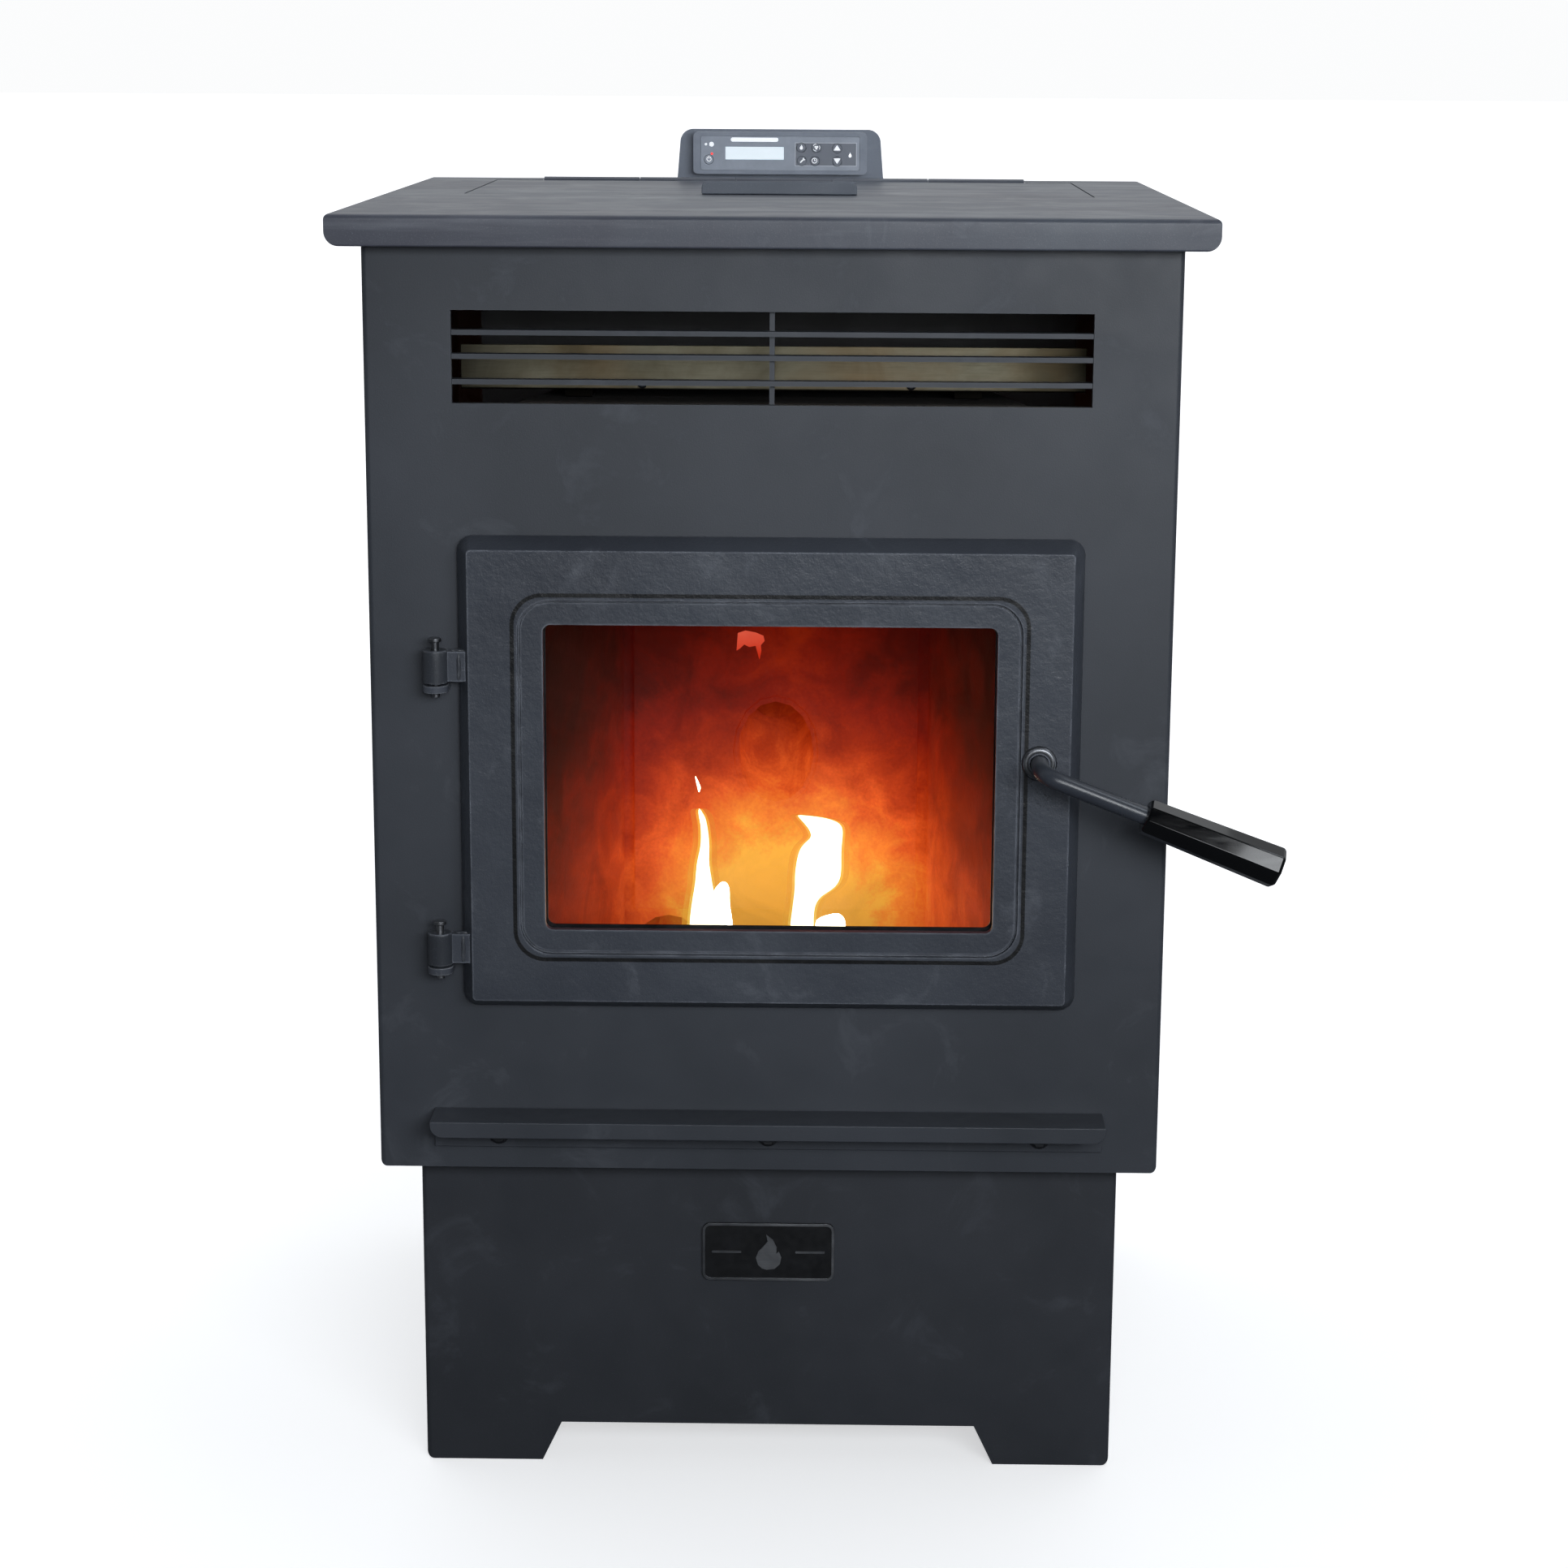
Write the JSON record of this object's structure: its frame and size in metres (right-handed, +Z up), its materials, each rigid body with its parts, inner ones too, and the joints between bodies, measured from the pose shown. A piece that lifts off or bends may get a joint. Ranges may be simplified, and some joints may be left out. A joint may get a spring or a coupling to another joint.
{
  "type": "pellet stove",
  "caption": "Free-standing pellet stove on a pedestal: hinged window door with lever handle, hopper lid, louvre outlet, control panel, auger feed and blowers.",
  "frame": {"origin": "middle of the whole object's footprint, on the floor", "axes": "+X to the right seen from the front, +Y to the back, +Z up"},
  "size_m": [0.665, 0.6956, 0.9723],
  "materials": {
    "cabinet_paint": "satin charcoal powder coat, fine texture",
    "pedestal_paint": "satin charcoal powder coat, fine texture",
    "top_paint": "satin charcoal powder coat",
    "door_paint": "charcoal stove paint over cast iron, slightly pebbled",
    "badge": "black plate with a bright border",
    "black_grip": "glossy black",
    "panel_plastic": "satin grey, printed symbols",
    "display": "pale back-lit display",
    "window": "clear ceramic glass, lit by the fire",
    "seal_fibre": "woven glass-fibre rope and tape",
    "bright_steel": "bare and zinc-plated steel",
    "dark_steel": "blackened steel",
    "aluminised_steel": "aluminised sheet, slightly yellowed by heat",
    "fire_iron": "sooty iron and heat-proof paint",
    "circuit_board": "green laminate with parts on it"
  },
  "bodies": {
    "cabinet": {"front_panel": "cabinet_paint", "left_side_panel": "cabinet_paint", "right_side_panel": "cabinet_paint", "back_panel": "cabinet_paint", "base_plate": "cabinet_paint", "louvre_grille": "cabinet_paint", "ash_shelf": "cabinet_paint", "pedestal_front": "pedestal_paint", "pedestal_shell": "pedestal_paint", "top_plate": "top_paint", "control_bracket": "top_paint", "upper_hinge_bracket": "door_paint", "lower_hinge_bracket": "door_paint", "badge_plate": "badge", "power_inlet": "black_grip", "controller_housing": "panel_plastic", "controller_overlay": "panel_plastic", "lcd_display": "display", "hopper": "bright_steel", "lid_hinge_pin": "bright_steel", "upper_hinge_pin": "bright_steel", "lower_hinge_pin": "bright_steel", "igniter": "bright_steel", "latch_keeper": "dark_steel", "ash_pan": "dark_steel", "auger_tube": "dark_steel", "auger_motor": "dark_steel", "exhaust_blower_housing": "dark_steel", "exhaust_motor": "dark_steel", "convection_motor": "dark_steel", "heat_shield": "aluminised_steel", "heat_exchanger": "aluminised_steel", "convection_blower_housing": "aluminised_steel", "flue_outlet": "aluminised_steel", "air_intake": "aluminised_steel", "firebox": "fire_iron", "firebox_liner": "fire_iron", "burn_pot_stand": "fire_iron", "burn_pot": "fire_iron", "control_board": "circuit_board"},
    "door": {"door_frame": "door_paint", "door_glass": "window", "glass_retainer": "dark_steel", "door_gasket": "seal_fibre"},
    "handle": {"handle_rod": "dark_steel", "handle_grip": "black_grip", "latch_cam": "dark_steel"},
    "lid": {"hopper_lid": "top_paint", "lid_handle": "black_grip", "lid_seal": "seal_fibre"},
    "auger": {"auger_screw": "bright_steel"},
    "exhaust_fan": {"exhaust_impeller": "bright_steel"},
    "convection_fan": {"convection_impeller": "bright_steel"},
    "power_key": {"power_button": "panel_plastic"},
    "flame_key": {"flame_button": "panel_plastic"},
    "fan_key": {"fan_button": "panel_plastic"},
    "setup_key": {"setup_button": "panel_plastic"},
    "clock_key": {"clock_button": "panel_plastic"},
    "up_key": {"up_button": "panel_plastic"},
    "down_key": {"down_button": "panel_plastic"}
  },
  "joints": [
    {"name": "door_hinge", "type": "hinge", "parent": "cabinet", "child": "door", "pos_m": [-0.26227, -0.28815, 0.5374], "axis": [0, 0, -1], "range_deg": [0, 110]},
    {"name": "handle_turn", "type": "hinge", "parent": "door", "child": "handle", "pos_m": [0.16203, -0.33265, 0.552], "axis": [0, -1, 0], "range_deg": [0, 90]},
    {"name": "lid_hinge", "type": "hinge", "parent": "cabinet", "child": "lid", "pos_m": [-0.02747, 0.27435, 0.9283], "axis": [-1, 0, 0], "range_deg": [0, 80]},
    {"name": "auger_spin", "type": "hinge", "parent": "cabinet", "child": "auger", "pos_m": [-0.02747, 0.15944, 0.42977], "axis": [0, 0.6428, -0.766], "continuous": true},
    {"name": "exhaust_fan_spin", "type": "hinge", "parent": "cabinet", "child": "exhaust_fan", "pos_m": [-0.11248, 0.06515, 0.335], "axis": [0, 1, 0], "continuous": true},
    {"name": "convection_fan_spin", "type": "hinge", "parent": "cabinet", "child": "convection_fan", "pos_m": [0.10253, 0.13515, 0.338], "axis": [1, 0, 0], "continuous": true},
    {"name": "power_press", "type": "slide", "parent": "cabinet", "child": "power_key", "axis": [0, 1, 0], "range_m": [0, 0.0005], "stiffness_N_per_m": 400},
    {"name": "flame_press", "type": "slide", "parent": "cabinet", "child": "flame_key", "axis": [0, 1, 0], "range_m": [0, 0.0005], "stiffness_N_per_m": 400},
    {"name": "fan_press", "type": "slide", "parent": "cabinet", "child": "fan_key", "axis": [0, 1, 0], "range_m": [0, 0.0005], "stiffness_N_per_m": 400},
    {"name": "setup_press", "type": "slide", "parent": "cabinet", "child": "setup_key", "axis": [0, 1, 0], "range_m": [0, 0.0005], "stiffness_N_per_m": 400},
    {"name": "clock_press", "type": "slide", "parent": "cabinet", "child": "clock_key", "axis": [0, 1, 0], "range_m": [0, 0.0005], "stiffness_N_per_m": 400},
    {"name": "up_press", "type": "slide", "parent": "cabinet", "child": "up_key", "axis": [0, 1, 0], "range_m": [0, 0.0005], "stiffness_N_per_m": 400},
    {"name": "down_press", "type": "slide", "parent": "cabinet", "child": "down_key", "axis": [0, 1, 0], "range_m": [0, 0.0005], "stiffness_N_per_m": 400}
  ]
}
